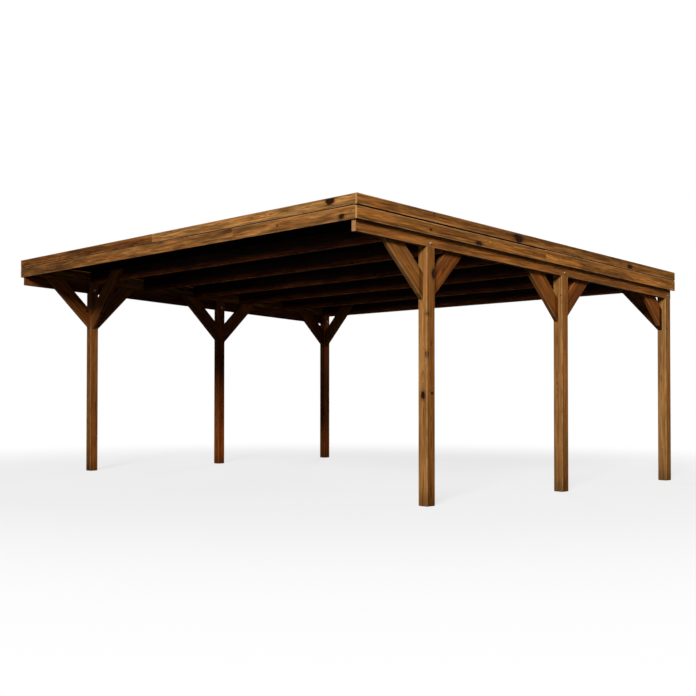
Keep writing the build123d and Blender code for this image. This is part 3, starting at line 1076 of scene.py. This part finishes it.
def roof_screw(radius):
    """A round washer of the given radius and the hexagon head on it."""
    face, base, top = radius * ROOF_WASHER_FACE, ROOF_WASHER_TOP, ROOF_HEAD_TOP
    washer = [(0, 0), (radius, 0), (radius, ROOF_WASHER_SIDE), (face, base), (0, base)]
    head = [(0, base), (ROOF_HEAD, base), (ROOF_HEAD, ROOF_HEAD_SIDE), (ROOF_HEAD_FACE, top), (0, top)]
    return turned(washer, 12), turned(head, 12, hexagon)


class CARPORT_OT_roof_screws(bpy.types.Operator):
    """Fix the roof sheets through every second rib into each rafter"""

    bl_idname = "carport.roof_screws"
    bl_label = "Add the roof screws"

    def execute(self, context):
        sizes = context.scene.carport_fixings
        sheets = nodes_named("roof_sheet")
        left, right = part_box(sheets[0])[0].x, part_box(sheets[-1])[1].x
        ribs = len(sheets) * context.scene.carport_roof.ribs_per_sheet
        low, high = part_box(sheets[-1])
        crest = (high.z - low.z) - roof_fall() * (high.y - low.y)
        up = Vector((0.0, roof_fall(), 1.0)).normalized()
        spots = []
        for name in nodes_named("rafter"):
            rafter_low, rafter_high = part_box(name)
            y = (rafter_low.y + rafter_high.y) / 2
            z = rafter_high.z - roof_fall() * (y - rafter_low.y) + crest
            for rib in range(0, ribs, RIBS_PER_SCREW):
                x = left + (rib + 0.5) * (right - left) / ribs
                spots.append(((x, y, z), up))
        parts = [place_all(part, spots) for part in roof_screw(sizes.roof_screw_radius)]
        add_piece("roof_screws", parts, zinc(sizes))
        return {"FINISHED"}


# ---------------- Stage -----------------


def add_lamp(name, place, target, size, power):
    """A square soft lamp that looks at the target."""
    data = bpy.data.lights.new(name, "AREA")
    data.shape = "SQUARE"
    data.size = size
    data.energy = power
    lamp = new_object(name, data)
    lamp.location = place
    lamp.rotation_euler = (Vector(target) - Vector(place)).to_track_quat("-Z", "Y").to_euler()


def seen_directly(graph):
    """1 for rays from the camera and those that pass through glass, and 0 for the others."""
    rays = graph.add("ShaderNodeLightPath").outputs
    return graph.most(rays["Is Camera Ray"], rays["Is Transmission Ray"])


def floor_material(looks):
    """A pale matt floor that keeps the shadow, throws little light back up, and fades to white
    far from the object."""
    near, far, near_share = 3.5, 9.0, 0.75
    unseen_near, unseen_far = 12.0, 26.0
    material = bpy.data.materials.new("pale_floor")
    graph = bare_graph(material)
    seen = seen_directly(graph)
    tint = graph.blend(seen, opaque((looks.floor_bounce,) * 3), opaque(looks.floor))
    matt = graph.add("ShaderNodeBsdfDiffuse", {"Color": tint})
    glow = graph.plus(looks.far_glow, graph.times(seen, 1.0 - looks.far_glow))
    white = graph.add("ShaderNodeEmission", {"Color": WHITE, "Strength": glow})
    place = graph.add("ShaderNodeTexCoord").outputs["Object"]
    reach = graph.vector("LENGTH", graph.vector("MULTIPLY", place, (1.0, 1.0, 0.0)))
    fade = graph.pick(
        seen,
        graph.ramp(reach, unseen_near, unseen_far),
        graph.ramp(reach, near, far, near_share, 1.0),
    )
    mix = graph.add("ShaderNodeMixShader", {0: fade, 1: matt.outputs[0], 2: white.outputs[0]})
    graph.add("ShaderNodeOutputMaterial", {"Surface": mix.outputs[0]})
    return material


class CARPORT_OT_stage(bpy.types.Operator):
    """Set up the floor, the lamps, the white background and the camera"""

    bl_idname = "carport.stage"
    bl_label = "Set the stage"

    def execute(self, context):
        looks = context.scene.carport_stage
        self.floor(looks)
        self.lamps(looks)
        self.sky(context, looks)
        self.camera(context, looks)
        context.scene.view_settings.view_transform = "Standard"
        return {"FINISHED"}

    def floor(self, looks):
        half = looks.floor_size
        edges = [(-half, -half, 0.0), (half, -half, 0.0), (half, half, 0.0), (-half, half, 0.0)]
        mesh = bpy.data.meshes.new("floor")
        mesh.from_pydata(edges, [], [(0, 1, 2, 3)])
        mesh.materials.append(floor_material(looks))
        new_object("floor", mesh)

    def lamps(self, looks):
        wide, narrow = 6.0, 3.0
        add_lamp("key_lamp", (14.8, -20.3, 12.0), (0.3, -0.5, 1.2), wide, looks.key_power)
        add_lamp("side_lamp", (9.5, 8.0, 9.0), (2.0, 1.5, 1.6), narrow, looks.side_power)
        add_lamp("rear_lamp", (-8.5, 10.0, 6.5), (0.0, 0.5, 1.6), narrow, looks.back_power)

    def sky(self, context, looks):
        world = bpy.data.worlds.new("even_sky")
        graph = bare_graph(world)
        strength = graph.plus(looks.sky, graph.times(seen_directly(graph), 1.0 - looks.sky))
        light = graph.add("ShaderNodeBackground", {"Color": WHITE, "Strength": strength})
        graph.add("ShaderNodeOutputWorld", {"Surface": light.outputs[0]})
        context.scene.world = world

    def camera(self, context, looks):
        data = bpy.data.cameras.new("camera")
        data.lens = looks.lens
        data.sensor_width = 36.0
        data.shift_y = looks.shift
        data.clip_end = 200.0
        camera = new_object("camera", data)
        turn = Matrix.Rotation(looks.heading, 4, "Z")
        tilt = Matrix.Rotation(math.pi / 2 + looks.pitch, 4, "X")
        roll = Matrix.Rotation(looks.roll, 4, "Z")
        place = Matrix.Translation((looks.camera_x, looks.camera_y, looks.camera_z))
        camera.matrix_world = place @ turn @ tilt @ roll
        context.scene.camera = camera


# -------- Panel and registration --------


class CARPORT_PT_panel(bpy.types.Panel):
    """The carport's steps and its sizes and colours"""

    bl_idname = "CARPORT_PT_panel"
    bl_label = "Carport"
    bl_space_type = "VIEW_3D"
    bl_region_type = "UI"
    bl_category = "Carport"

    def draw(self, context):
        for operator in OPERATORS:
            self.layout.operator(operator.bl_idname)
        for name, group in GROUPS.items():
            box = self.layout.box()
            box.label(text=name.replace("_", " ").capitalize())
            for key in group.__annotations__:
                box.prop(getattr(context.scene, name), key)


OPERATORS = (
    CARPORT_OT_timber,
    CARPORT_OT_roof,
    CARPORT_OT_bolts,
    CARPORT_OT_screws,
    CARPORT_OT_roof_screws,
    CARPORT_OT_stage,
)


def register():
    for group in (*GROUPS.values(), *OPERATORS, CARPORT_PT_panel):
        bpy.utils.register_class(group)
    for name, group in GROUPS.items():
        setattr(bpy.types.Scene, name, PointerProperty(type=group))


def unregister():
    for name in GROUPS:
        delattr(bpy.types.Scene, name)
    for group in (CARPORT_PT_panel, *reversed(OPERATORS), *reversed(GROUPS.values())):
        bpy.utils.unregister_class(group)


def main():
    register()
    bpy.ops.carport.timber()
    bpy.ops.carport.roof()
    bpy.ops.carport.bolts()
    bpy.ops.carport.screws()
    bpy.ops.carport.roof_screws()
    bpy.ops.carport.stage()


if __name__ == "__main__":
    main()
